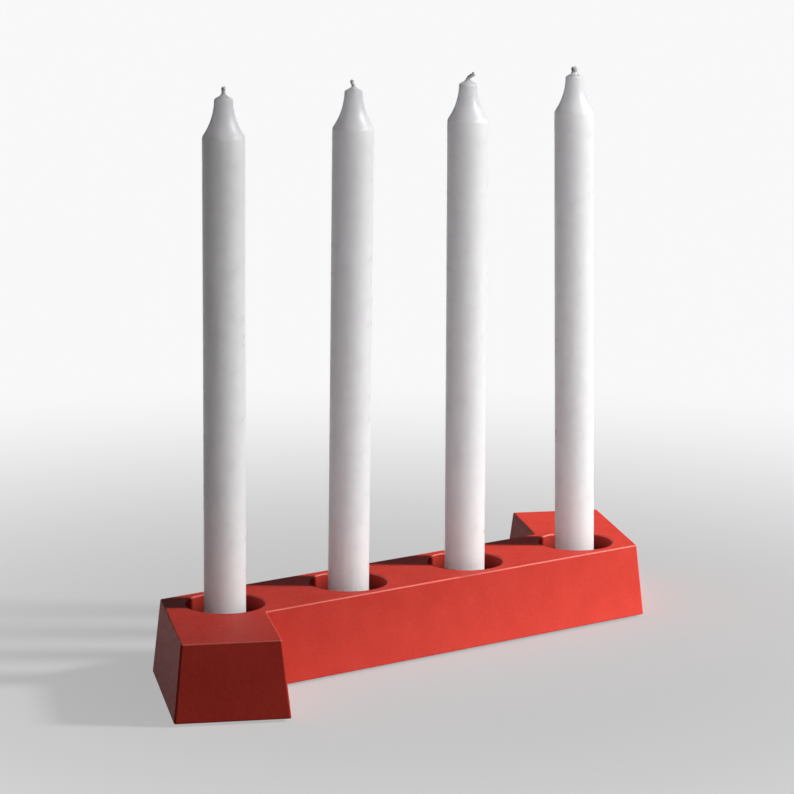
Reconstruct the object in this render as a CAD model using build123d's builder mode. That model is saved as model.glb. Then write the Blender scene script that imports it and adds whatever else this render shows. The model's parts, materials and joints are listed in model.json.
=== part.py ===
# Advent candle holder: a Z-shaped block, sand-cast in metal and powder-coated, with a row of wide
# cups in its top. A tall candle stands in a socket in the floor of each cup, and the hollow
# underside rests on rubber foot pads. Millimetres, +Z up, X along the bar and +Y to the back.
# The origin is on the table, under the middle of the bar.

import os
from math import cos, radians, sin, tan

from build123d import *

os.makedirs("parts", exist_ok=True)

# Candles: stock crown candles, one for each Sunday in Advent
CANDLE_NAMES = ("first", "second", "third", "fourth")
CANDLE_SPACING = 79.0
CANDLE_DIAMETER = 22.0
CANDLE_LENGTH = 290.0
BASE_CHAMFER = 0.8

# The drawn-in top of a candle: a hollow flare from the shoulder to a neck, closed by a low cone
TIP_LENGTH = 21.2
CONE_HEIGHT = 2.8
NECK_DIAMETER = 9.6
FLARE_HOLLOW = 1.15
SHOULDER_RADIUS = 2.0
NECK_EDGE_RADIUS = 0.7

# Each candle leans a little in its socket, in degrees, towards the heading measured from +X
CANDLE_LEANS = (0.1, 0.4, -0.2, -1.0)
LEAN_HEADING = -36.5

# Wicks: each stands clear of the wax for a stem, then bends over into a tip
WICK_DIAMETER = 2.0
WICK_STEM = 1.0
WICK_TIP = 2.4
WICK_BEND_RADIUS = 1.8
WICK_TIP_SHARES = (1.0, 0.6, 1.5, 0.4)
WICK_BENDS = (4.0, 28.0, 46.0, 78.0)
WICK_HEADINGS = (-36.5, 143.5, -36.5, -126.5)

# Cups and sockets, cast into the block
CUP_DIAMETER = 42.0
CUP_DEPTH = 11.0
SOCKET_DEPTH = 14.0
SOCKET_CLEARANCE = 0.5
SOCKET_LEAD = 0.8
SEAT_GAP = 0.1

# The block in plan, at its top face: a straight bar with an arm folded back at each end
RIM_WIDTH = 5.5
ARM_NARROWING = 2.0
ARM_LENGTH = 72.5
ARM_ANGLE = 64.5
FOLD_OFFSET = 7.5

# The block in section
BODY_HEIGHT = 40.0
DRAFT_ANGLE = 6.0
WALL = 5.0
CORNER_RADIUS = 1.2
EDGE_RADIUS = 0.9
BASE_EDGE_RADIUS = 0.6
CORE_RADIUS = 3.0

# Foot pads, glued into round lands in the underside
FOOT_NAMES = ("fold", "outer", "inner")
FOOT_DIAMETER = 12.0
FOOT_THICKNESS = 2.5
FOOT_RECESS = 1.0
FOOT_FIT = 0.2
FOOT_INSET = 12.0
FOOT_EDGE_RADIUS = 0.5
LAND_DIAMETER = 18.0

# Derived sizes and levels
bar_width = CUP_DIAMETER + 2 * RIM_WIDTH
arm_width = bar_width - ARM_NARROWING
bottom_z = FOOT_THICKNESS - FOOT_RECESS
top_z = bottom_z + BODY_HEIGHT
cup_floor_z = top_z - CUP_DEPTH
socket_floor_z = cup_floor_z - SOCKET_DEPTH
candle_radius = CANDLE_DIAMETER / 2
socket_radius = candle_radius + SOCKET_CLEARANCE
cup_radius = CUP_DIAMETER / 2
wick_radius = WICK_DIAMETER / 2
row_half = CANDLE_SPACING * (len(CANDLE_NAMES) - 1) / 2
candle_places = [(n * CANDLE_SPACING - row_half, 0) for n in range(len(CANDLE_NAMES))]


def draft_spread(level):
    """How far the drafted sides stand out, at a level below the top face."""
    return (top_z - level) * tan(radians(DRAFT_ANGLE))


def band_corners(outset):
    """Corners of the Z-shaped band in plan, anticlockwise, with every side moved out by outset."""
    bar_half = bar_width / 2 + outset
    arm_half = arm_width / 2 + outset
    turn = radians(ARM_ANGLE)
    fold = Vector(-row_half - FOLD_OFFSET, 0)
    along = Vector(-cos(turn), -sin(turn))
    across = Vector(-sin(turn), cos(turn))
    mitre = (bar_half - arm_half * cos(turn)) / sin(turn)
    arm_end = fold + along * (ARM_LENGTH + outset)
    left_half = [
        fold + across * arm_half - along * mitre,
        arm_end + across * arm_half,
        arm_end - across * arm_half,
        fold - across * arm_half + along * mitre,
    ]
    return left_half + [corner * -1 for corner in left_half]


# Foot places: the fold's outer corner and the two corners of the arm's end, on each side
foot_places = {}
for corner_name, corner in zip(FOOT_NAMES, band_corners(draft_spread(bottom_z) - FOOT_INSET)):
    foot_places[f"left_{corner_name}"] = corner
    foot_places[f"right_{corner_name}"] = corner * -1

# Sand core: the space under the block, less the housings of the cups and sockets and the lands
with BuildPart() as core:
    for level in (bottom_z, top_z - WALL):
        with BuildSketch(Plane.XY.offset(level)):
            with BuildLine():
                Polyline(*band_corners(draft_spread(level) - WALL), close=True)
            make_face()
    loft(ruled=True)
    fillet(core.edges().group_by(Axis.Z)[1], CORE_RADIUS)
    fillet(core.edges().group_by(Axis.Z)[-1], CORE_RADIUS)
    with BuildSketch(Plane.XY.offset(cup_floor_z - WALL)):
        with Locations(*candle_places):
            Circle(cup_radius + WALL)
    extrude(amount=BODY_HEIGHT, mode=Mode.SUBTRACT)
    with BuildSketch(Plane.XY.offset(socket_floor_z - WALL)):
        with Locations(*candle_places):
            Circle(socket_radius + WALL)
    extrude(amount=BODY_HEIGHT, mode=Mode.SUBTRACT)
    with BuildSketch(Plane.XY.offset(bottom_z)):
        with Locations(*foot_places.values()):
            Circle(LAND_DIAMETER / 2)
    extrude(amount=BODY_HEIGHT, mode=Mode.SUBTRACT)

# Casting: the drafted block with its cups, sockets, hollow underside and foot recesses
with BuildPart() as casting:
    for level in (bottom_z, top_z):
        with BuildSketch(Plane.XY.offset(level)):
            with BuildLine():
                Polyline(*band_corners(draft_spread(level)), close=True)
            make_face()
    loft(ruled=True)
    fillet(casting.edges().group_by(Axis.Z)[1], CORNER_RADIUS)
    fillet(casting.edges().group_by(Axis.Z)[0], BASE_EDGE_RADIUS)
    with BuildSketch(Plane.XY.offset(top_z)):
        with Locations(*candle_places):
            Circle(cup_radius)
    extrude(amount=-CUP_DEPTH, mode=Mode.SUBTRACT)
    fillet(casting.faces().sort_by(Axis.Z)[-1].edges(), EDGE_RADIUS)
    with BuildSketch(Plane.XY.offset(cup_floor_z)):
        with Locations(*candle_places):
            Circle(socket_radius)
    extrude(amount=-SOCKET_DEPTH, mode=Mode.SUBTRACT)
    socket_mouths = casting.edges().filter_by(GeomType.CIRCLE).filter_by_position(
        Axis.Z, cup_floor_z, cup_floor_z
    )
    chamfer([mouth for mouth in socket_mouths if mouth.radius < cup_radius], SOCKET_LEAD)
    add(core.part, mode=Mode.SUBTRACT)
    with BuildSketch(Plane.XY.offset(bottom_z)):
        with Locations(*foot_places.values()):
            Circle(FOOT_DIAMETER / 2 + FOOT_FIT)
    extrude(amount=FOOT_RECESS, mode=Mode.SUBTRACT)
casting.part.label = "holder_casting"
export_step(casting.part, "parts/holder_casting.step")

# Foot pads: moulded rubber discs with a rounded lower edge, standing on the table
for place, centre in foot_places.items():
    with BuildPart() as foot:
        with BuildSketch():
            with Locations(centre):
                Circle(FOOT_DIAMETER / 2)
        extrude(amount=FOOT_THICKNESS)
        fillet(foot.edges().group_by(Axis.Z)[0], FOOT_EDGE_RADIUS)
    foot.part.label = f"foot_pad_{place}"
    export_step(foot.part, f"parts/foot_pad_{place}.step")


def candle_axis(number):
    """The axis of a candle, from the middle of its foot and up along its lean."""
    lean = radians(CANDLE_LEANS[number])
    heading = Vector(1, 0, 0).rotate(Axis.Z, LEAN_HEADING)
    upright = Vector(0, 0, 1) * cos(lean) + heading * sin(lean)
    foot_rise = candle_radius * sin(abs(lean)) + SEAT_GAP
    x, y = candle_places[number]
    return Axis((x, y, socket_floor_z + foot_rise), upright)


def standing_plane(axis, heading):
    """Plane through a candle's axis, its Y up the axis and its X towards a heading from +X."""
    facing = Vector(1, 0, 0).rotate(Axis.Z, heading)
    normal = facing.cross(axis.direction)
    return Plane(axis.position, x_dir=axis.direction.cross(normal), z_dir=normal)


# Candles: wax turned about the wick's bore, then the wick through it with its bent tip
for number, name in enumerate(CANDLE_NAMES):
    axis = candle_axis(number)
    shoulder = (candle_radius, CANDLE_LENGTH - TIP_LENGTH)
    neck = (NECK_DIAMETER / 2, CANDLE_LENGTH - CONE_HEIGHT)
    with BuildPart() as wax:
        with BuildSketch(standing_plane(axis, LEAN_HEADING)) as profile:
            with BuildLine():
                Polyline(neck, (wick_radius, CANDLE_LENGTH), (wick_radius, 0), (candle_radius, 0), shoulder)
                SagittaArc(shoulder, neck, FLARE_HOLLOW)
            make_face()
            fillet(profile.vertices().sort_by_distance(shoulder)[0], SHOULDER_RADIUS)
            fillet(profile.vertices().sort_by_distance(neck)[0], NECK_EDGE_RADIUS)
            chamfer(profile.vertices().sort_by_distance((candle_radius, 0))[0], BASE_CHAMFER)
        revolve(axis=axis)
    wax.part.label = f"{name}_candle_wax"
    export_step(wax.part, f"parts/{name}_candle_wax.step")

    with BuildPart() as wick:
        with BuildLine(standing_plane(axis, WICK_HEADINGS[number])):
            stem = Line((0, 0), (0, CANDLE_LENGTH + WICK_STEM))
            bend = JernArc(stem @ 1, stem % 1, WICK_BEND_RADIUS, -WICK_BENDS[number])
            Line(bend @ 1, bend @ 1 + (bend % 1) * WICK_TIP * WICK_TIP_SHARES[number])
        with BuildSketch(Plane(axis.position, z_dir=axis.direction)):
            Circle(wick_radius)
        sweep()
    wick.part.label = f"{name}_candle_wick"
    export_step(wick.part, f"parts/{name}_candle_wick.step")
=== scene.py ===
# %% [markdown]
# # Dressing an advent candle holder
# The measured model of this holder is already there: one heavy casting, six rubber feet and four
# candles with their wicks, each in its place and at its real size. This lesson gives every piece
# the surface that it has on the table in December. The casting and the feet keep their measured
# shapes and only get a finish. The wax and the wicks are made again, because a candle is never as
# true as a turned bar and a wick is a plait of cotton, not a rod.

# %% Load the measured model
import json
import math
import random

import bpy
from mathutils import Matrix, Vector, noise


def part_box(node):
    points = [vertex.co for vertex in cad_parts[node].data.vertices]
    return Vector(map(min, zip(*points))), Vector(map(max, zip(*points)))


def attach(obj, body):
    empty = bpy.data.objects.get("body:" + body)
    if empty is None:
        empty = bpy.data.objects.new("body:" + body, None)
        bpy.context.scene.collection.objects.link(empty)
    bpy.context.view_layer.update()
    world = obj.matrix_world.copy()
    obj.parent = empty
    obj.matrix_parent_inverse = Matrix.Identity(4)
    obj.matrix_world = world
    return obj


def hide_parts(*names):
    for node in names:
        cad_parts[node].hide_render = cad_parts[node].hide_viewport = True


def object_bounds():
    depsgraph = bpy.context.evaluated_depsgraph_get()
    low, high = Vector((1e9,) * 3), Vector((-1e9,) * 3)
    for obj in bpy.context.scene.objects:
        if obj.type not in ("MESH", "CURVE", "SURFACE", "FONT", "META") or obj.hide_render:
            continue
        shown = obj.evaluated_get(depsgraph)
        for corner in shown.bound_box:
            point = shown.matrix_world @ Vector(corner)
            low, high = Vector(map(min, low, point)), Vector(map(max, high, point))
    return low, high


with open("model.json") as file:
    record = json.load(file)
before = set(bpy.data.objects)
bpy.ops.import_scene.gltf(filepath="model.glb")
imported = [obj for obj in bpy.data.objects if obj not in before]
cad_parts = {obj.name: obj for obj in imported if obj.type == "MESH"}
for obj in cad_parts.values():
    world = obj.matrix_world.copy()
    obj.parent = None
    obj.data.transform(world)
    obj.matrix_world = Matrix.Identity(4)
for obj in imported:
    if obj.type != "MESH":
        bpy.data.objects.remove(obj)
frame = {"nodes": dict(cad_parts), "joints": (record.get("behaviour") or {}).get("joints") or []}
measured_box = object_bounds()
MM = 0.001
holder_size = (measured_box[1] - measured_box[0]) / MM
print("measured pieces:", len(frame["nodes"]), "- overall mm:", [round(side, 1) for side in holder_size])

# %% [markdown]
# ## Colours and nodes
# A colour picker gives colours as sRGB hex values, while Blender's shaders work with linear light.
# One function turns the first into the second, so that a colour in this script can be compared
# with a swatch. A second one adds a node to a material, sets its values and links its inputs, which
# keeps each finish below short enough to read as a recipe.

# %% Helpers for every finish
def linear_colour(hex_code):
    """The linear red, green, blue and alpha of an sRGB hex colour such as #D84032."""
    shares = [int(hex_code[start : start + 2], 16) / 255 for start in (1, 3, 5)]
    light = [s / 12.92 if s <= 0.04045 else ((s + 0.055) / 1.055) ** 2.4 for s in shares]
    return (*light, 1.0)


def add_node(tree, kind, values=None, links=None, **settings):
    """Add a node of a kind with its settings, the values of its inputs and the links into them."""
    node = tree.nodes.new(kind)
    for setting, value in settings.items():
        setattr(node, setting, value)
    for socket, value in (values or {}).items():
        node.inputs[socket].default_value = value
    for socket, source in (links or {}).items():
        tree.links.new(source, node.inputs[socket])
    return node


def new_finish(name):
    """An empty material: its node tree and its shader, already joined to the output."""
    material = bpy.data.materials.new(name)
    material.use_nodes = True
    tree = material.node_tree
    shader = tree.nodes["Principled BSDF"]
    return material, tree, shader


def per_mm(size):
    """The texture scale at which a pattern repeats about every size millimetres."""
    return 1 / (size * MM)


print("half-way grey in linear light:", [round(c, 3) for c in linear_colour("#808080")])

# %% [markdown]
# ## Where each candle stands
# Every candle leans a little in its socket, each its own way. Its slide joint in the measured model
# runs along that lean, so the joint gives the candle's axis. The lowest ring of the measured wax
# gives the middle of its foot, and the wax's reach along and across the axis gives its sizes. The
# feet also tell where the cups are, because each candle stands in the middle of its cup.

# %% Measure the candles
CANDLES = ("first", "second", "third", "fourth")
RING_TOLERANCE = 0.01 * MM


def measure_candle(name):
    """The middle of a candle's foot, its axis, its length and its radius, from the measured wax."""
    joint = next(j for j in frame["joints"] if j["child"] == f"{name}_candle")
    axis = Vector(joint["axis"]).normalized()
    points = [vertex.co for vertex in frame["nodes"][f"{name}_candle_wax"].data.vertices]
    low = min(point.dot(axis) for point in points)
    ring = [point for point in points if point.dot(axis) < low + RING_TOLERANCE]
    foot = Vector([(min(p[i] for p in ring) + max(p[i] for p in ring)) / 2 for i in range(3)])
    length = max(point.dot(axis) for point in points) - low
    radius = max((point - foot - axis * (point - foot).dot(axis)).length for point in points)
    return foot, axis, length, radius


candle_sizes = {name: measure_candle(name) for name in CANDLES}
for name, (foot, axis, length, radius) in candle_sizes.items():
    lean = math.degrees(axis.angle(Vector((0, 0, 1))))
    print(f"{name}: {length / MM:.1f} mm long, {radius / MM:.2f} mm radius, leans {lean:.2f} degrees")

# %% [markdown]
# ## Red powder coat over a sand casting
# The block is cast in a sand mould, ground along its edges, and sprayed with red powder that melts
# in an oven. Baked powder is half glossy: it flows together into a low orange peel, with grains of
# the sand still telling through it and a few nibs of dust. It could be painted with one flat red,
# but then the long front face would look like plastic. So layers of noise are stacked here, each at
# the size of a real thing: the waves of the sand mould, the orange peel, the grain and the nibs.

# %% Powder coat: its layers
# The spacing of each layer's pattern and how high it stands, in mm
MOULD_WAVE = 14.0
WAVE_HEIGHT = 0.05
ORANGE_PEEL = 2.2
PEEL_HEIGHT = 0.07
POWDER_GRAIN = 0.9
GRAIN_HEIGHT = 0.035
NIB_SPACING = 7.0
NIB_HEIGHT = 0.08
# A nib's radius as a share of the spacing
NIB_SHARE = 0.045

# Baked powder gives the eye a deep red with a broad, soft sheen and a fine texture in raking light.
coat, tree, shader = new_finish("baked_red_powder_coat")
on_object = add_node(tree, "ShaderNodeTexCoord").outputs["Object"]
mould_wave = add_node(
    tree, "ShaderNodeTexNoise", {"Scale": per_mm(MOULD_WAVE), "Detail": 2.0}, {"Vector": on_object}
)
orange_peel = add_node(
    tree, "ShaderNodeTexNoise", {"Scale": per_mm(ORANGE_PEEL), "Detail": 1.0}, {"Vector": on_object}
)
# Real powder grains are near 0.1 mm. They are drawn coarser, so that they show in the picture.
powder_grain = add_node(
    tree, "ShaderNodeTexNoise", {"Scale": per_mm(POWDER_GRAIN), "Detail": 2.0}, {"Vector": on_object}
)
nibs = add_node(tree, "ShaderNodeTexVoronoi", {"Scale": per_mm(NIB_SPACING)}, {"Vector": on_object})
nib_spots = add_node(
    tree,
    "ShaderNodeMapRange",
    {"From Min": 0.0, "From Max": NIB_SHARE, "To Min": 1.0, "To Max": 0.0},
    {"Value": nibs.outputs["Distance"]},
)
layers = (
    (mould_wave.outputs["Fac"], WAVE_HEIGHT),
    (orange_peel.outputs["Fac"], PEEL_HEIGHT),
    (powder_grain.outputs["Fac"], GRAIN_HEIGHT),
    (nib_spots.outputs["Result"], NIB_HEIGHT),
)
# Each layer's relief is laid over the one before it.
relief = None
for pattern, height in layers:
    links = {"Height": pattern}
    if relief is not None:
        links["Normal"] = relief.outputs["Normal"]
    relief = add_node(tree, "ShaderNodeBump", {"Strength": 1.0, "Distance": height * MM}, links)
tree.links.new(relief.outputs["Normal"], shader.inputs["Normal"])
print("layers in the coat:", len(layers))

# %% [markdown]
# ## Painted shade in the cups
# The coat's colour is darkened down each cup's wall and in its socket. This is painted shade, which keeps
# the cups deep and dark. It is not drawn in a texture: the shader works out how far a spot is from the
# middle of the nearest cup, and how deep.

# %% Powder coat: painted shade in the cups
CUP_RADIUS = 21.0
CUP_DEPTH = 11.0
SOCKET_RADIUS = 12.4
SOCKET_DEPTH = 14.0
# The way in mm over which the painted shade goes over into the full colour
RIM_EASE = 0.9
# The share of the colour that is taken away as painted shade on a cup's floor and at its rim
CUP_FLOOR_SHADE = 0.8
CUP_RIM_SHADE = 0.3

row_start = candle_sizes["first"][0].x
half_spacing = (candle_sizes["second"][0].x - row_start) / 2
coat_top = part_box("holder_casting")[1].z
cup_floor = coat_top - CUP_DEPTH * MM
spot = add_node(tree, "ShaderNodeSeparateXYZ", links={"Vector": on_object})
# Wrapping X by the candles' spacing lays all the cups over the first one.
along_row = add_node(
    tree,
    "ShaderNodeMath",
    {1: row_start + half_spacing, 2: row_start - half_spacing},
    {0: spot.outputs["X"]},
    operation="WRAP",
)
on_plan = add_node(
    tree, "ShaderNodeCombineXYZ", links={"X": along_row.outputs[0], "Y": spot.outputs["Y"]}
)
from_cup_middle = add_node(
    tree,
    "ShaderNodeVectorMath",
    {1: (row_start, 0, 0)},
    {0: on_plan.outputs["Vector"]},
    operation="DISTANCE",
)
opening_radius = add_node(
    tree,
    "ShaderNodeMapRange",
    {
        "From Min": cup_floor - RIM_EASE * MM,
        "From Max": cup_floor,
        "To Min": SOCKET_RADIUS * MM,
        "To Max": CUP_RADIUS * MM,
    },
    {"Value": spot.outputs["Z"]},
)
past_wall = add_node(
    tree,
    "ShaderNodeMath",
    links={0: from_cup_middle.outputs["Value"], 1: opening_radius.outputs["Result"]},
    operation="SUBTRACT",
)
inside_wall = add_node(
    tree,
    "ShaderNodeMapRange",
    {"From Min": 0.0, "From Max": RIM_EASE * MM, "To Min": 1.0, "To Max": 0.0},
    {"Value": past_wall.outputs[0]},
)
above_socket_floor = add_node(
    tree,
    "ShaderNodeMath",
    {1: cup_floor - (SOCKET_DEPTH + RIM_EASE) * MM},
    {0: spot.outputs["Z"]},
    operation="GREATER_THAN",
)
in_opening = add_node(
    tree,
    "ShaderNodeMath",
    links={0: inside_wall.outputs["Result"], 1: above_socket_floor.outputs[0]},
    operation="MULTIPLY",
)
# Painted shade: the deeper a spot lies in a cup, the more of the coat's colour is taken away.
painted_cup_shade = add_node(
    tree,
    "ShaderNodeMapRange",
    {
        "From Min": cup_floor,
        "From Max": coat_top - RIM_EASE * MM,
        "To Min": -CUP_FLOOR_SHADE,
        "To Max": -CUP_RIM_SHADE,
    },
    {"Value": spot.outputs["Z"]},
)
cup_shade_factor = add_node(
    tree,
    "ShaderNodeMath",
    {2: 1.0},
    {0: painted_cup_shade.outputs["Result"], 1: in_opening.outputs[0]},
    operation="MULTIPLY_ADD",
)
print("cup floors at", round(cup_floor / MM, 1), "mm")

# %% [markdown]
# ## The red, and a painted highlight on its edges
# A coat of even thickness still varies a little in depth of colour, thinner over the waves' crests and
# shaded by its grain. The eased edges get a painted highlight: they are made paler than the faces, and
# a little glossier. They are found by how far up they face: the top faces straight up, the sides hardly
# at all, and an eased edge half-way.

# %% Powder coat: red, with a painted highlight on the edges
DEEP_RED = "#D03A2D"
THIN_RED = "#D84032"
GRAIN_SHADES = (0.94, 1.05)
COAT_ROUGHNESS = (0.48, 0.60)
# How far up an eased edge faces, where 1 is straight up, and how far to either side of that it counts
EDGE_FACING = 0.6
EDGE_SPAN = 0.32
# The painted highlight that an edge adds to the coat's red, green and blue, and what it adds to its
# roughness
EDGE_PAINTED_HIGHLIGHT = (0.15, 0.11, 0.095)
EDGE_GLOSS = -0.08
# Nearly all values of a noise texture lie in this span, which is stretched to the range that is wanted.
NOISE_LOW = 0.3
NOISE_HIGH = 0.7
NOISE_SPAN = {"From Min": NOISE_LOW, "From Max": NOISE_HIGH}

depth_of_red = add_node(tree, "ShaderNodeValToRGB", links={"Fac": mould_wave.outputs["Fac"]})
depth_of_red.color_ramp.elements[0].position = NOISE_LOW
depth_of_red.color_ramp.elements[0].color = linear_colour(DEEP_RED)
depth_of_red.color_ramp.elements[1].position = NOISE_HIGH
depth_of_red.color_ramp.elements[1].color = linear_colour(THIN_RED)
grain_of_red = add_node(
    tree,
    "ShaderNodeMapRange",
    {**NOISE_SPAN, "To Min": GRAIN_SHADES[0], "To Max": GRAIN_SHADES[1]},
    {"Value": powder_grain.outputs["Fac"]},
)
# The grain's random tone, times the painted shade of the cups
grain_and_cup_shade = add_node(
    tree,
    "ShaderNodeMath",
    links={0: grain_of_red.outputs["Result"], 1: cup_shade_factor.outputs[0]},
    operation="MULTIPLY",
)
grained_red = add_node(
    tree,
    "ShaderNodeVectorMath",
    links={0: depth_of_red.outputs["Color"], "Scale": grain_and_cup_shade.outputs[0]},
    operation="SCALE",
)
facing = add_node(tree, "ShaderNodeNewGeometry")
facing_up = add_node(tree, "ShaderNodeSeparateXYZ", links={"Vector": facing.outputs["Normal"]})
on_edge = add_node(
    tree, "ShaderNodeMath", {1: EDGE_FACING, 2: EDGE_SPAN}, {0: facing_up.outputs["Z"]}, operation="COMPARE"
)
# Painted highlight: the eased edges are made paler than the faces.
red_with_painted_edge_highlight = add_node(
    tree,
    "ShaderNodeVectorMath",
    {1: EDGE_PAINTED_HIGHLIGHT},
    {0: on_edge.outputs[0], 2: grained_red.outputs["Vector"]},
    operation="MULTIPLY_ADD",
)
gloss_of_red = add_node(
    tree,
    "ShaderNodeMapRange",
    {**NOISE_SPAN, "To Min": COAT_ROUGHNESS[0], "To Max": COAT_ROUGHNESS[1]},
    {"Value": orange_peel.outputs["Fac"]},
)
edged_gloss = add_node(
    tree,
    "ShaderNodeMath",
    {1: EDGE_GLOSS},
    {0: on_edge.outputs[0], 2: gloss_of_red.outputs["Result"]},
    operation="MULTIPLY_ADD",
)
shader.inputs["IOR"].default_value = 1.5
shader.inputs["Specular IOR Level"].default_value = 0.2
tree.links.new(red_with_painted_edge_highlight.outputs["Vector"], shader.inputs["Base Color"])
tree.links.new(edged_gloss.outputs[0], shader.inputs["Roughness"])

casting = frame["nodes"]["holder_casting"]
casting.data.materials[0] = coat
print("coated:", casting.name, "with", len(tree.nodes), "nodes")

# %% [markdown]
# ## Black rubber feet
# Six moulded rubber pads keep the casting off the table. Moulded rubber is nearly black, has hardly
# any gloss, and carries the fine spark-eroded grain of its mould, with a bloom of grey dust. They
# hide under the block, so their measured shape is enough, and only the finish is made here.

# %% Rubber
MOULD_GRAIN = 0.5
MOULD_GRAIN_HEIGHT = 0.04
DUST_PATCH = 3.0
DUST_SPAN = (0.4, 0.75)
RUBBER_BLACK = "#161617"
DUSTY_BLACK = "#2E2D2C"

# Moulded rubber gives the eye a soft near-black without a glint.
rubber, tree, shader = new_finish("moulded_black_rubber")
on_object = add_node(tree, "ShaderNodeTexCoord").outputs["Object"]
# Spark erosion leaves a grain of some 0.1 mm. It is drawn coarser, so that it can show.
mould_grain = add_node(
    tree, "ShaderNodeTexNoise", {"Scale": per_mm(MOULD_GRAIN), "Detail": 3.0}, {"Vector": on_object}
)
dust = add_node(
    tree, "ShaderNodeTexNoise", {"Scale": per_mm(DUST_PATCH), "Detail": 4.0}, {"Vector": on_object}
)
dusted = add_node(tree, "ShaderNodeValToRGB", links={"Fac": dust.outputs["Fac"]})
dusted.color_ramp.elements[0].position = DUST_SPAN[0]
dusted.color_ramp.elements[0].color = linear_colour(RUBBER_BLACK)
dusted.color_ramp.elements[1].position = DUST_SPAN[1]
dusted.color_ramp.elements[1].color = linear_colour(DUSTY_BLACK)
grain_bump = add_node(
    tree,
    "ShaderNodeBump",
    {"Strength": 1.0, "Distance": MOULD_GRAIN_HEIGHT * MM},
    {"Height": mould_grain.outputs["Fac"]},
)
shader.inputs["IOR"].default_value = 1.52
shader.inputs["Roughness"].default_value = 0.8
shader.inputs["Specular IOR Level"].default_value = 0.35
tree.links.new(dusted.outputs["Color"], shader.inputs["Base Color"])
tree.links.new(grain_bump.outputs["Normal"], shader.inputs["Normal"])

feet = [node for name, node in frame["nodes"].items() if name.startswith("foot_pad")]
for foot in feet:
    foot.data.materials[0] = rubber
print("rubber feet:", len(feet))

# %% [markdown]
# ## White candle wax
# A crown candle is drawn from paraffin with some stearin in it. Light goes into wax, carries on mostly
# forward, and comes out again far from where it went in. So the edge between light and shade is soft,
# and thin places glow. That is subsurface scattering, and the shader has it built in: its scale says
# how far light spreads in all, and its anisotropy how much of it carries on forward. The skin is
# smooth and slightly waxy-glossy, with faint clouds where the stearin has crystallised.

# %% Wax
STEARIN_CLOUD = 9.0
CLOUD_SPAN = (0.35, 0.65)
SKIN_GRAIN = 1.2
SKIN_HEIGHT = 0.008
LIGHT_REACH = 70.0
FORWARD_SHARE = 0.6
CLOUD_WHITE = "#F3EFF9"
CLEAR_WHITE = "#F7F3FD"
WAX_ROUGHNESS = (0.27, 0.30)
TIP_LENGTH = 21.2 * MM
TIP_SHADE = 0.85

# Wax gives the eye a soft white that is lit from inside, with a narrow streak of gloss.
wax, tree, shader = new_finish("drawn_candle_wax")
on_object = add_node(tree, "ShaderNodeTexCoord").outputs["Object"]
clouds = add_node(
    tree, "ShaderNodeTexNoise", {"Scale": per_mm(STEARIN_CLOUD), "Detail": 3.0}, {"Vector": on_object}
)
skin = add_node(
    tree, "ShaderNodeTexNoise", {"Scale": per_mm(SKIN_GRAIN), "Detail": 2.0}, {"Vector": on_object}
)
clouded_white = add_node(tree, "ShaderNodeValToRGB", links={"Fac": clouds.outputs["Fac"]})
clouded_white.color_ramp.elements[0].position = CLOUD_SPAN[0]
clouded_white.color_ramp.elements[0].color = linear_colour(CLOUD_WHITE)
clouded_white.color_ramp.elements[1].position = CLOUD_SPAN[1]
clouded_white.color_ramp.elements[1].color = linear_colour(CLEAR_WHITE)
# Painted shade: the thin tip lets more of the light go through, so its colour is made greyer than the
# shaft's.
wax_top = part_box("first_candle_wax")[1].z
level = add_node(tree, "ShaderNodeSeparateXYZ", links={"Vector": on_object})
painted_tip_shade = add_node(
    tree,
    "ShaderNodeMapRange",
    {
        "From Min": wax_top - TIP_LENGTH,
        "From Max": wax_top - TIP_LENGTH / 2,
        "To Min": 1.0,
        "To Max": TIP_SHADE,
    },
    {"Value": level.outputs["Z"]},
)
white_with_painted_tip_shade = add_node(
    tree,
    "ShaderNodeVectorMath",
    links={0: clouded_white.outputs["Color"], "Scale": painted_tip_shade.outputs["Result"]},
    operation="SCALE",
)
waxy_gloss = add_node(
    tree,
    "ShaderNodeMapRange",
    {**NOISE_SPAN, "To Min": WAX_ROUGHNESS[0], "To Max": WAX_ROUGHNESS[1]},
    {"Value": clouds.outputs["Fac"]},
)
skin_bump = add_node(
    tree, "ShaderNodeBump", {"Strength": 1.0, "Distance": SKIN_HEIGHT * MM}, {"Height": skin.outputs["Fac"]}
)
shader.inputs["IOR"].default_value = 1.44
shader.inputs["Specular IOR Level"].default_value = 0.24
shader.inputs["Subsurface Weight"].default_value = 1.0
shader.inputs["Subsurface Radius"].default_value = (1.0, 0.95, 0.95)
shader.inputs["Subsurface Scale"].default_value = LIGHT_REACH * MM
shader.inputs["Subsurface Anisotropy"].default_value = FORWARD_SHARE
tree.links.new(white_with_painted_tip_shade.outputs["Vector"], shader.inputs["Base Color"])
tree.links.new(waxy_gloss.outputs["Result"], shader.inputs["Roughness"])
tree.links.new(skin_bump.outputs["Normal"], shader.inputs["Normal"])
print("light in the wax spreads over", LIGHT_REACH, "mm")

# %% [markdown]
# ## The line of the wax
# A candle is a straight shaft, a crisp shoulder, a hollow flare up to a neck, and a low cone round the
# wick. All of that is one line from the foot to the wick, in radius and height. It could be drawn as a
# curve by hand. Here it is worked out, so that it follows each candle's measured length and radius. The
# flare is an arc through the shoulder and the neck. The two corners are eased with a short curve, as
# the tip's cutter and many fingers leave them. A little wax has crept up each wick into a nipple, most
# of all on the fourth.

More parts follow.
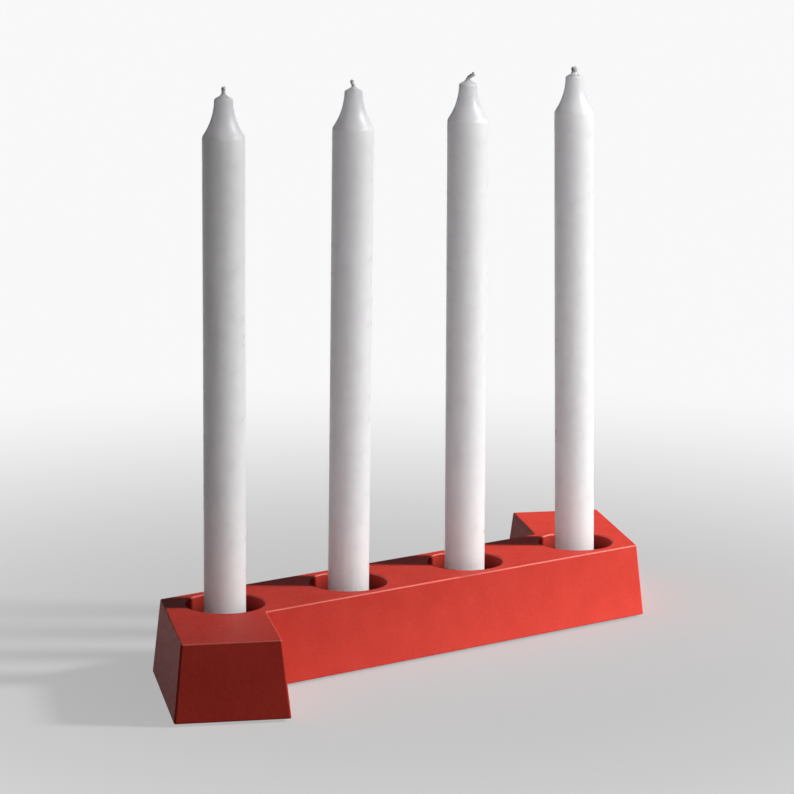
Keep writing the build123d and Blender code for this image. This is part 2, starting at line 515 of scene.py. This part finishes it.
# %% Profile of the wax
CONE_HEIGHT = 2.0 * MM
CONE_STEPS = 5
NECK_RADIUS = 4.8 * MM
FLARE_HOLLOW = 1.6 * MM
FLARE_STEPS = 26
SHOULDER_EASE = 1.4 * MM
NECK_EASE = 0.8 * MM
BASE_EASE = 0.8 * MM
EASE_STEPS = 6
SHAFT_STEP = 4.0 * MM
WICK_SEAT = 1.25 * MM
NIPPLE_RADIUS = 1.25 * WICK_SEAT
NIPPLE_SHOULDER = 0.55
NIPPLES = {"first": 0.35 * MM, "second": 0.3 * MM, "third": 0.3 * MM, "fourth": 1.2 * MM}
DIMPLE_DEPTH = 0.6 * MM
DIMPLE_FLOOR = 1.25 * WICK_SEAT
DIMPLE_RIM = 1.5 * WICK_SEAT


def ease_corner(before, corner, after, reach):
    """Points of a short curve that cuts a corner, starting and ending a reach away from it."""
    start = corner + (before - corner).normalized() * reach
    end = corner + (after - corner).normalized() * reach
    shares = [step / EASE_STEPS for step in range(EASE_STEPS + 1)]
    return [start * (1 - t) ** 2 + corner * 2 * t * (1 - t) + end * t**2 for t in shares]


def flare_points(shoulder, neck):
    """Points of the hollow arc from the shoulder to the neck, the two ends included."""
    chord = neck - shoulder
    radius = (chord.length**2 / 4 + FLARE_HOLLOW**2) / (2 * FLARE_HOLLOW)
    outward = Vector((chord.y, -chord.x)).normalized()
    centre = (shoulder + neck) / 2 + outward * (radius - FLARE_HOLLOW)
    first = math.atan2(shoulder.y - centre.y, shoulder.x - centre.x)
    last = math.atan2(neck.y - centre.y, neck.x - centre.x)
    sweep = (last - first + math.pi) % (2 * math.pi) - math.pi
    turns = [first + sweep * step / FLARE_STEPS for step in range(FLARE_STEPS + 1)]
    return [centre + Vector((math.cos(turn), math.sin(turn))) * radius for turn in turns]


def wax_profile(length, radius, nipple):
    """The (radius, height) line up half a candle, from the dimple in its foot to the wick's seat."""
    shoulder = Vector((radius, length - TIP_LENGTH))
    neck = Vector((NECK_RADIUS, length - CONE_HEIGHT))
    seat = Vector((WICK_SEAT, length))
    flare = flare_points(shoulder, neck)
    flare = [p for p in flare if (p - shoulder).length > SHOULDER_EASE and (p - neck).length > NECK_EASE]
    straight = shoulder.y - SHOULDER_EASE - BASE_EASE
    shaft_rings = round(straight / SHAFT_STEP)
    heights = [BASE_EASE + straight * ring / shaft_rings for ring in range(shaft_rings)]
    line = [Vector((DIMPLE_FLOOR, DIMPLE_DEPTH)), Vector((DIMPLE_RIM, 0))]
    line += [Vector((radius / 2, 0)), Vector((radius - BASE_EASE, 0))]
    line += [Vector((radius, height)) for height in heights]
    line += ease_corner(line[-1], shoulder, flare[0], SHOULDER_EASE)
    line += flare
    line += ease_corner(flare[-1], neck, seat, NECK_EASE)
    cone_shares = [step / CONE_STEPS for step in range(1, CONE_STEPS)]
    line += [neck.lerp(seat, share) for share in cone_shares]
    line.append(Vector((NIPPLE_RADIUS, length + nipple * NIPPLE_SHOULDER)))
    line.append(Vector((WICK_SEAT, length + nipple)))
    return line


profiles = {name: wax_profile(*candle_sizes[name][2:], NIPPLES[name]) for name in CANDLES}
print("rings of wax from foot to wick:", [len(line) for line in profiles.values()])

# %% [markdown]
# ## Turning the wax
# The line is turned about the candle's axis. A Screw modifier could do that. Here each ring of vertices
# is laid in a loop instead, so that every ring can be a little out of true, as wax is when it has
# cooled. Close to the wick it stays true, so that no gap opens between the two.

# %% Turn the four candles
SEGMENTS = 96
TRUENESS = 0.05 * MM
TRUENESS_LENGTH = 45.0 * MM
TRUE_WITHIN = 2 * WICK_SEAT
WOBBLE_STEP = 10.0
SHARP_EDGE = math.radians(38)


def turned_piece(name, foot, axis, line, wobble_seed):
    """A closed solid turned about an axis from a (radius, height) line, a little out of true."""
    side = axis.orthogonal().normalized()
    front = axis.cross(side)
    points = []
    for radius, height in line:
        for segment in range(SEGMENTS):
            turn = 2 * math.pi * segment / SEGMENTS
            outward = side * math.cos(turn) + front * math.sin(turn)
            spot = Vector((math.cos(turn), math.sin(turn), height / TRUENESS_LENGTH + wobble_seed))
            drift = noise.noise(spot) * TRUENESS if radius > TRUE_WITHIN else 0.0
            points.append(foot + axis * height + outward * (radius + drift))
    last = (len(line) - 1) * SEGMENTS
    faces = [list(range(SEGMENTS - 1, -1, -1)), list(range(last, last + SEGMENTS))]
    for low in range(0, last, SEGMENTS):
        for segment in range(SEGMENTS):
            beside = (segment + 1) % SEGMENTS
            faces.append([low + segment, low + beside, low + SEGMENTS + beside, low + SEGMENTS + segment])
    mesh = bpy.data.meshes.new(name)
    mesh.from_pydata(points, [], faces)
    mesh.shade_smooth()
    mesh.set_sharp_from_angle(angle=SHARP_EDGE)
    piece = bpy.data.objects.new(name, mesh)
    bpy.context.scene.collection.objects.link(piece)
    return piece


for number, name in enumerate(CANDLES):
    foot, axis = candle_sizes[name][:2]
    candle = turned_piece(f"{name}_candle_drawn_wax", foot, axis, profiles[name], WOBBLE_STEP * number)
    candle.data.materials.append(wax)
    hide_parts(f"{name}_candle_wax")
    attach(candle, f"{name}_candle")
    print(candle.name, "faces:", len(candle.data.polygons))

# %% [markdown]
# ## Cotton yarn
# A wick is a flat plait of cotton yarns, stiffened with wax. Above the candle it shows as a short
# stub: cut, bent over, frayed at its end and greyer there than at its foot, where the wax has soaked
# in. The fourth has been mashed into a knob, and its end is given a darker grey. Thin yarn lets light
# through, so it scatters light like the wax does, only over a much shorter way.

# %% Cotton
YARN_FIBRE = 0.25
FIBRE_HEIGHT = 0.012
FIBRE_SHADES = (0.86, 1.06)
YARN_GLOW = 2.5
SOAKED_SPAN = (0.1, 0.95)
WAXED_FOOT = "#E8E6E3"
FRAYED_END = "#D2CFCB"
MASHED_END = "#8E8B87"


def cotton_finish(finish_name, end_colour):
    """Cotton yarn, pale where the wax has soaked in and going over to another colour at its end."""
    # Waxed cotton gives the eye a dull grey-white that lights up when lit from behind.
    cotton, tree, shader = new_finish(finish_name)
    on_object = add_node(tree, "ShaderNodeTexCoord").outputs["Object"]
    # Cotton fibres are some 0.02 mm thick. They are drawn over ten times coarser, so that they show.
    fibres = add_node(
        tree, "ShaderNodeTexNoise", {"Scale": per_mm(YARN_FIBRE), "Detail": 3.0}, {"Vector": on_object}
    )
    height = add_node(tree, "ShaderNodeSeparateXYZ", links={"Vector": on_object})
    wick_tops = [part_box(f"{name}_candle_wick")[1].z for name in CANDLES]
    wax_tops = [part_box(f"{name}_candle_wax")[1].z for name in CANDLES]
    up_the_stub = add_node(
        tree,
        "ShaderNodeMapRange",
        {"From Min": min(wax_tops), "From Max": max(wick_tops)},
        {"Value": height.outputs["Z"]},
    )
    soaked = add_node(tree, "ShaderNodeValToRGB", links={"Fac": up_the_stub.outputs["Result"]})
    soaked.color_ramp.elements[0].position = SOAKED_SPAN[0]
    soaked.color_ramp.elements[0].color = linear_colour(WAXED_FOOT)
    soaked.color_ramp.elements[1].position = SOAKED_SPAN[1]
    soaked.color_ramp.elements[1].color = linear_colour(end_colour)
    fibre_shade = add_node(
        tree,
        "ShaderNodeMapRange",
        {**NOISE_SPAN, "To Min": FIBRE_SHADES[0], "To Max": FIBRE_SHADES[1]},
        {"Value": fibres.outputs["Fac"]},
    )
    yarn_colour = add_node(
        tree,
        "ShaderNodeVectorMath",
        links={0: soaked.outputs["Color"], "Scale": fibre_shade.outputs["Result"]},
        operation="SCALE",
    )
    fibre_bump = add_node(
        tree,
        "ShaderNodeBump",
        {"Strength": 1.0, "Distance": FIBRE_HEIGHT * MM},
        {"Height": fibres.outputs["Fac"]},
    )
    shader.inputs["IOR"].default_value = 1.53
    shader.inputs["Roughness"].default_value = 0.9
    shader.inputs["Specular IOR Level"].default_value = 0.25
    shader.inputs["Sheen Weight"].default_value = 0.3
    shader.inputs["Subsurface Weight"].default_value = 1.0
    shader.inputs["Subsurface Radius"].default_value = (1.0, 1.0, 1.0)
    shader.inputs["Subsurface Scale"].default_value = YARN_GLOW * MM
    tree.links.new(yarn_colour.outputs["Vector"], shader.inputs["Base Color"])
    tree.links.new(fibre_bump.outputs["Normal"], shader.inputs["Normal"])
    return cotton


plain_cotton = cotton_finish("plaited_cotton_yarn", FRAYED_END)
mashed_cotton = cotton_finish("mashed_cotton_yarn", MASHED_END)
print("cotton goes from", WAXED_FOOT, "at the wax to", FRAYED_END, "at a cut and", MASHED_END, "if mashed")

# %% [markdown]
# ## The line of each wick
# Inside the wax the wick runs straight. It stands clear of the wax on a short stem, then bends over
# into its tip: the first hardly at all, the second back to the left, the third far to the right, and
# the fourth a little to the right, under its knob. Each stands where the measured wick does. Lengths
# and bends were set again after a closer look at the stubs.

# %% Wick lines
BEND_RADIUS = 1.2 * MM
HIDDEN_STEP = 1.5 * MM
SHOWN_FROM = 2.0 * MM
SHOWN_STEP = 0.2 * MM
# For each wick: its stem above the wax in mm, how far it bends and towards which heading from +X in
# degrees, the length of its tip in mm, and by what share of its thickness the tip is mashed out
WICKS = {
    "first": (1.0, 4.0, -36.5, 3.1, 0.1),
    "second": (0.8, 20.0, 143.5, 2.8, 0.0),
    "third": (0.4, 54.0, -36.5, 4.0, 0.0),
    "fourth": (1.0, 16.0, -36.5, 2.1, 0.95),
}


def wick_line(name):
    """Steps up a wick: the way travelled, the wick's middle, its direction and its facing at each."""
    foot, axis, length, _ = candle_sizes[name]
    stem_mm, bend, heading, tip_mm, _ = WICKS[name]
    level_facing = Vector((math.cos(math.radians(heading)), math.sin(math.radians(heading)), 0))
    facing = (level_facing - axis * level_facing.dot(axis)).normalized()
    arc = math.radians(bend) * BEND_RADIUS
    stem = length + stem_mm * MM
    whole = stem + arc + tip_mm * MM
    hidden = length - SHOWN_FROM
    hidden_steps = round(hidden / HIDDEN_STEP)
    travelled = [hidden * step / hidden_steps for step in range(hidden_steps)]
    shown_steps = math.ceil((whole - hidden) / SHOWN_STEP)
    travelled += [hidden + (whole - hidden) * step / shown_steps for step in range(shown_steps + 1)]
    line = []
    for way in travelled:
        turn = min(max(way - stem, 0) / BEND_RADIUS, math.radians(bend))
        direction = axis * math.cos(turn) + facing * math.sin(turn)
        across = facing * math.cos(turn) - axis * math.sin(turn)
        middle = foot + axis * min(way, stem)
        middle = middle + axis * BEND_RADIUS * math.sin(turn) + facing * BEND_RADIUS * (1 - math.cos(turn))
        middle = middle + direction * max(way - stem - arc, 0)
        line.append((way, middle, direction, across))
    return line


wick_lines = {name: wick_line(name) for name in CANDLES}
for name, line in wick_lines.items():
    print(f"{name} wick: {line[-1][0] / MM:.1f} mm long in {len(line)} steps")

# %% [markdown]
# ## Plaiting the strands
# A plait of three strands is only two sine waves: in one pitch each strand goes across and back once,
# and in and out twice, a third of a pitch behind the one before. Three tubes could be swept along that,
# but light that scatters in one tube would stop at its wall. So each ring of the wick is one outline
# round all three strands, wherever they are at that height, with shallow lobes for the yarn's plies.
# Where a tip is mashed it swells, and at the cut it closes in.

# %% Outlines of the plait
STRANDS = 3
PLAIT_PITCH = 4.6 * MM
WEAVE_ACROSS = 0.50 * MM
WEAVE_DEEP = 0.22 * MM
YARN_RADIUS = 0.74 * MM
YARN_PLIES = 4
YARN_TWIST = 2.2 * MM
PLY_DEPTH = 0.07
WICK_SIDES = 48
MASH_LENGTH = 2.6 * MM
CUT_EASE = 0.4 * MM
CUT_WIDTH = 0.3


def reach_of_strand(centre, radius, outward):
    """How far a round strand reaches from the wick's middle in a direction, or nought if it doesn't."""
    along = centre.dot(outward)
    room = radius**2 - centre.length_squared + along**2
    return max(0.0, along + math.sqrt(room)) if room > 0 else 0.0


def plait_rings(line, mash, wax_top):
    """The outlines of a wick from the foot of the candle to the cut, each round its three strands."""
    rings = []
    end = line[-1][0]
    for way, middle, direction, across in line:
        deep = direction.cross(across)
        from_knob = 2 * (end - way) / MASH_LENGTH - 1
        mashed = mash * math.sqrt(max(0.0, 1 - from_knob**2)) * (way > wax_top)
        from_cut = min(1.0, (end - way) / CUT_EASE)
        closing = CUT_WIDTH + (1 - CUT_WIDTH) * math.sqrt(1 - (1 - from_cut) ** 2)
        thickness = YARN_RADIUS * (1 + mashed) * closing
        phases = [2 * math.pi * (way / PLAIT_PITCH + strand / STRANDS) for strand in range(STRANDS)]
        centres = [Vector((WEAVE_ACROSS * math.sin(p), WEAVE_DEEP * math.sin(2 * p))) for p in phases]
        ring = []
        for side in range(WICK_SIDES):
            turn = 2 * math.pi * side / WICK_SIDES
            outward = Vector((math.cos(turn), math.sin(turn)))
            reach = max(reach_of_strand(c * (1 + mashed / 2), thickness, outward) for c in centres)
            plies = math.cos(YARN_PLIES * turn - 2 * math.pi * way / YARN_TWIST)
            reach *= 1 - PLY_DEPTH + PLY_DEPTH * plies
            ring.append(middle + (across * outward.x + deep * outward.y) * reach)
        rings.append(ring)
    return rings


plaits = {
    name: plait_rings(wick_lines[name], WICKS[name][-1], candle_sizes[name][2]) for name in CANDLES
}
print("outlines in each plait:", [len(rings) for rings in plaits.values()])

# %% [markdown]
# ## Wicks with loose fibres
# The outlines of each plait are joined into one closed skin, and a dozen loose fibres are stuck into its
# cut end. The fibres are drawn by lot, with a seed of its own for each wick, so that every run of this
# script gives the same wicks.

# %% Plait the wicks
FIBRES = 12
FIBRE_SEED = 40
FIBRE_RADIUS = 0.035 * MM
# Where a fibre is rooted between the middle of the cut and its rim, how far it leans, its reach in mm
# and the share of that reach by which it curls aside
FIBRE_ROOTS = (0.2, 0.8)
FIBRE_LEAN = 0.7
FIBRE_REACH = (0.25, 0.75)
FIBRE_CURL = 0.25
# Along a fibre: the share of its reach and its thickness there
FIBRE_TAPER = ((-0.3, 1.0), (0.5, 0.8), (1.0, 0.3))
# How far aside the second and third corner of a fibre's section lie
CORNER_SPREAD = 0.87
YARN_EDGE = math.radians(60)
MASHED_FROM = 0.5


def add_tube(points, faces, rings):
    """Join rings of points, given in order along a strand, into a tube with closed ends."""
    sides = len(rings[0])
    start = len(points)
    for ring in rings:
        points.extend(ring)
    for step in range(len(rings) - 1):
        low = start + step * sides
        for side in range(sides):
            beside = (side + 1) % sides
            faces.append([low + side, low + beside, low + sides + beside, low + sides + side])
    last = start + (len(rings) - 1) * sides
    faces.append(list(range(start + sides - 1, start - 1, -1)))
    faces.append(list(range(last, last + sides)))


def fibre_rings(ring, direction, draw):
    """The rings of one loose fibre that stands out of a wick's cut end."""
    centre = sum(ring, Vector()) / len(ring)
    root = centre.lerp(draw.choice(ring), draw.uniform(*FIBRE_ROOTS))
    lean = Vector((draw.uniform(-1, 1), draw.uniform(-1, 1), draw.uniform(-1, 1)))
    way_out = (direction + lean * FIBRE_LEAN).normalized()
    side = way_out.orthogonal().normalized()
    other = way_out.cross(side)
    reach = draw.uniform(*FIBRE_REACH) * MM
    rings = []
    for share, thickness in FIBRE_TAPER:
        curl = side * reach * FIBRE_CURL * max(share, 0) ** 2
        middle = root + way_out * reach * share + curl
        corners = [side, -side / 2 + other * CORNER_SPREAD, -side / 2 - other * CORNER_SPREAD]
        rings.append([middle + corner * FIBRE_RADIUS * thickness for corner in corners])
    return rings


for number, name in enumerate(CANDLES):
    rings = plaits[name]
    direction = wick_lines[name][-1][2]
    draw = random.Random(FIBRE_SEED + number)
    points, faces = [], []
    add_tube(points, faces, rings)
    for _ in range(FIBRES):
        add_tube(points, faces, fibre_rings(rings[-1], direction, draw))
    mesh = bpy.data.meshes.new(f"{name}_candle_plaited_wick")
    mesh.from_pydata(points, [], faces)
    mesh.shade_smooth()
    mesh.set_sharp_from_angle(angle=YARN_EDGE)
    mesh.materials.append(mashed_cotton if WICKS[name][-1] > MASHED_FROM else plain_cotton)
    wick = bpy.data.objects.new(mesh.name, mesh)
    bpy.context.scene.collection.objects.link(wick)
    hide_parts(f"{name}_candle_wick")
    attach(wick, f"{name}_candle")
    print(wick.name, "faces:", len(mesh.polygons))

# %% [markdown]
# ## A pale floor
# The holder stands on a wide, plain, pale floor. It reaches so far out that its edge stays out of the
# picture from any usual height. Seen by the lens, or in a gloss, it is pale, with a glow that grows
# further out until it is nearly white, and it keeps the holder's shadow. For the light that it throws
# back on the holder it counts as a mid grey, because a white floor all round would fill the shaded
# sides of the block with light that this holder doesn't have. Only a strip along the bar's front throws
# back more, as a floor in the full light of the lamps would, so the front is lighter towards its foot.

# %% Floor
FLOOR_RADIUS = 12.0
FLOOR_SIDES = 96
SEEN_PAINT = "#B3B3B3"
THROWN_PAINT = "#8A8A8A"
# The distances in m between which the glow grows, and how strong it is at each
GLOW_START = 0.1
GLOW_END = 0.8
NEAR_GLOW = 0.42
FAR_GLOW = 0.82
# The strip's middle, and how far it reaches from there along and across the bar, in m
STRIP_MIDDLE = (0.025, -0.058)
STRIP_REACH = (0.125, 0.028)
STRIP_GLOW = "#B4B4B4"


def seen_rays(tree):
    """A socket that is 1 for light that is seen directly, mirrored or through glass, and else 0."""
    ray = add_node(tree, "ShaderNodeLightPath")
    seen = ray.outputs["Is Camera Ray"]
    for way in ("Is Glossy Ray", "Is Transmission Ray"):
        links = {0: seen, 1: ray.outputs[way]}
        seen = add_node(tree, "ShaderNodeMath", links=links, operation="MAXIMUM").outputs[0]
    return seen


# Matt paint gives the eye an even, pale ground without a mirror image.
floor_paint, tree, shader = new_finish("matt_pale_floor_paint")
shader.inputs["Base Color"].default_value = linear_colour(SEEN_PAINT)
shader.inputs["Roughness"].default_value = 0.9
shader.inputs["Specular IOR Level"].default_value = 0.0
shader.inputs["Emission Color"].default_value = linear_colour("#FFFFFF")
on_object = add_node(tree, "ShaderNodeTexCoord").outputs["Object"]
far_out = add_node(tree, "ShaderNodeVectorMath", links={0: on_object}, operation="LENGTH")
far_glow = add_node(
    tree,
    "ShaderNodeMapRange",
    {"From Min": GLOW_START, "From Max": GLOW_END, "To Min": NEAR_GLOW, "To Max": FAR_GLOW},
    {"Value": far_out.outputs["Value"]},
    interpolation_type="SMOOTHSTEP",
)
tree.links.new(far_glow.outputs["Result"], shader.inputs["Emission Strength"])
spot = add_node(tree, "ShaderNodeSeparateXYZ", links={"Vector": on_object})
on_strip = [
    add_node(tree, "ShaderNodeMath", {1: middle, 2: reach}, {0: spot.outputs[side]}, operation="COMPARE")
    for side, middle, reach in zip("XY", STRIP_MIDDLE, STRIP_REACH)
]
in_strip = add_node(
    tree,
    "ShaderNodeMath",
    links={0: on_strip[0].outputs[0], 1: on_strip[1].outputs[0]},
    operation="MULTIPLY",
)
strip = add_node(
    tree, "ShaderNodeEmission", {"Color": linear_colour(STRIP_GLOW)}, {"Strength": in_strip.outputs[0]}
)
grey_paint = add_node(tree, "ShaderNodeBsdfDiffuse", {"Color": linear_colour(THROWN_PAINT)})
thrown_back = add_node(
    tree, "ShaderNodeAddShader", links={0: grey_paint.outputs["BSDF"], 1: strip.outputs["Emission"]}
)
floor_surface = add_node(
    tree,
    "ShaderNodeMixShader",
    links={0: seen_rays(tree), 1: thrown_back.outputs["Shader"], 2: shader.outputs["BSDF"]},
)
tree.links.new(floor_surface.outputs["Shader"], tree.nodes["Material Output"].inputs["Surface"])

mesh = bpy.data.meshes.new("pale_floor")
turns = [2 * math.pi * side / FLOOR_SIDES for side in range(FLOOR_SIDES)]
rim = [(FLOOR_RADIUS * math.cos(turn), FLOOR_RADIUS * math.sin(turn), 0.0) for turn in turns]
mesh.from_pydata(rim, [], [list(range(FLOOR_SIDES))])
mesh.materials.append(floor_paint)
floor = bpy.data.objects.new("pale_floor", mesh)
bpy.context.scene.collection.objects.link(floor)
print("floor reaches", FLOOR_RADIUS, "m out")

# %% [markdown]
# ## Light from the right
# One big lamp far off to the right rakes along the front face, so that the coat's texture shows, and
# leaves the block's end and the left sides of the candles in shade. Two beams beside it are aimed past
# the right end. Their soft edges cross the row, so that the light falls off from right to left. One is
# for the block. The other is for the candles: it is weaker and comes from further to the front, to hold
# light back from white wax. Each is linked to the pieces that it lights, so the floor stays even. A dim
# grey surround keeps the shadows from going black.

# %% Studio lamps and surround
LAMP_HEADING = 54.5
LAMP_HEIGHT = 32.0
LAMP_SPREAD = 8.0
LAMP_IRRADIANCE = 1.45
BEAM_DISTANCE = 4.0
# For each beam: the heading it comes from, its irradiance in W/m2 in the middle, its angle in degrees
# and the point it is aimed at
BEAMS = {
    "block": (54.5, 9.2, 29.5, Vector((0.94, 0.0, 0.0))),
    "candle": (40.0, 4.25, 20.5, Vector((0.395, 0.0, 0.173))),
}
DIM_ROOM = "#2A2A2C"
SEEN_ROOM = "#7C7C7E"


def stand_off(heading, height, distance):
    """A place round the object: heading 0 is in front of the bar and 90 at its right end."""
    turn, rise = math.radians(heading), math.radians(height)
    level = math.cos(rise)
    return Vector((math.sin(turn) * level, -math.cos(turn) * level, math.sin(rise))) * distance


def add_lamp(name, kind, place, aim, energy):
    """A lamp of a kind at a place, turned towards the point that it is aimed at."""
    data = bpy.data.lights.new(name, kind)
    data.energy = energy
    lamp = bpy.data.objects.new(name, data)
    lamp.location = place
    lamp.rotation_euler = (place - aim).to_track_quat("Z", "Y").to_euler()
    bpy.context.scene.collection.objects.link(lamp)
    return lamp


lamp_place = stand_off(LAMP_HEADING, LAMP_HEIGHT, BEAM_DISTANCE)
far_lamp = add_lamp("far_lamp", "SUN", lamp_place, Vector(), LAMP_IRRADIANCE)
far_lamp.data.angle = math.radians(LAMP_SPREAD)
pieces = [piece for piece in bpy.context.scene.objects if piece.type == "MESH" and piece != floor]
for kind, (heading, irradiance, angle, aim) in BEAMS.items():
    power = irradiance * 4 * math.pi * BEAM_DISTANCE**2
    beam_place = stand_off(heading, LAMP_HEIGHT, BEAM_DISTANCE)
    beam = add_lamp(f"{kind}_beam", "SPOT", beam_place, aim, power)
    beam.data.spot_size = math.radians(angle)
    beam.data.spot_blend = 1.0
    beam.data.shadow_soft_size = BEAM_DISTANCE * math.tan(math.radians(LAMP_SPREAD / 2))
    lit_pieces = bpy.data.collections.new(f"lit_by_{kind}_beam")
    for piece in pieces:
        if ("candle" in piece.name) == (kind == "candle"):
            lit_pieces.objects.link(piece)
    beam.light_linking.receiver_collection = lit_pieces

world = bpy.data.worlds.new("grey_room")
world.use_nodes = True
tree = world.node_tree
dim_room = tree.nodes["Background"]
dim_room.inputs["Color"].default_value = linear_colour(DIM_ROOM)
seen_room = add_node(tree, "ShaderNodeBackground", {"Color": linear_colour(SEEN_ROOM)})
room = add_node(
    tree,
    "ShaderNodeMixShader",
    links={0: seen_rays(tree), 1: dim_room.outputs["Background"], 2: seen_room.outputs["Background"]},
)
tree.links.new(room.outputs["Shader"], tree.nodes["World Output"].inputs["Surface"])
bpy.context.scene.world = world
bpy.context.scene.view_settings.view_transform = "Standard"
print("far lamp at", [round(c, 3) for c in lamp_place])

# %% [markdown]
# ## The photographer's camera
# The picture was taken with a long lens from the front left, a little above the block, and very
# slightly tilted. A camera looks along its own minus Z axis, so its matrix is built from the three
# directions right, up and back.

# %% Camera
CAMERA_HEADING = -36.377
CAMERA_HEIGHT = 11.023
CAMERA_TILT = 0.354
CAMERA_DISTANCE = 1.632721
CAMERA_TARGET = Vector((-7.691, 0.0, 138.838)) * MM
LENS = 137.75
SENSOR_WIDTH = 36.0
FAR_CLIP = 100.0

back = stand_off(CAMERA_HEADING, CAMERA_HEIGHT, 1.0)
level_right = Vector((0, 0, 1)).cross(back).normalized()
level_up = back.cross(level_right)
tilt = math.radians(CAMERA_TILT)
right = level_right * math.cos(tilt) + level_up * math.sin(tilt)
up = level_up * math.cos(tilt) - level_right * math.sin(tilt)
camera_data = bpy.data.cameras.new("camera")
camera_data.lens = LENS
camera_data.sensor_width = SENSOR_WIDTH
camera_data.clip_end = FAR_CLIP
camera = bpy.data.objects.new("camera", camera_data)
turned = Matrix((right, up, back)).transposed().to_4x4()
camera.matrix_world = Matrix.Translation(CAMERA_TARGET + back * CAMERA_DISTANCE) @ turned
bpy.context.scene.collection.objects.link(camera)
bpy.context.scene.camera = camera
print("camera at", [round(c, 3) for c in camera.matrix_world.translation])
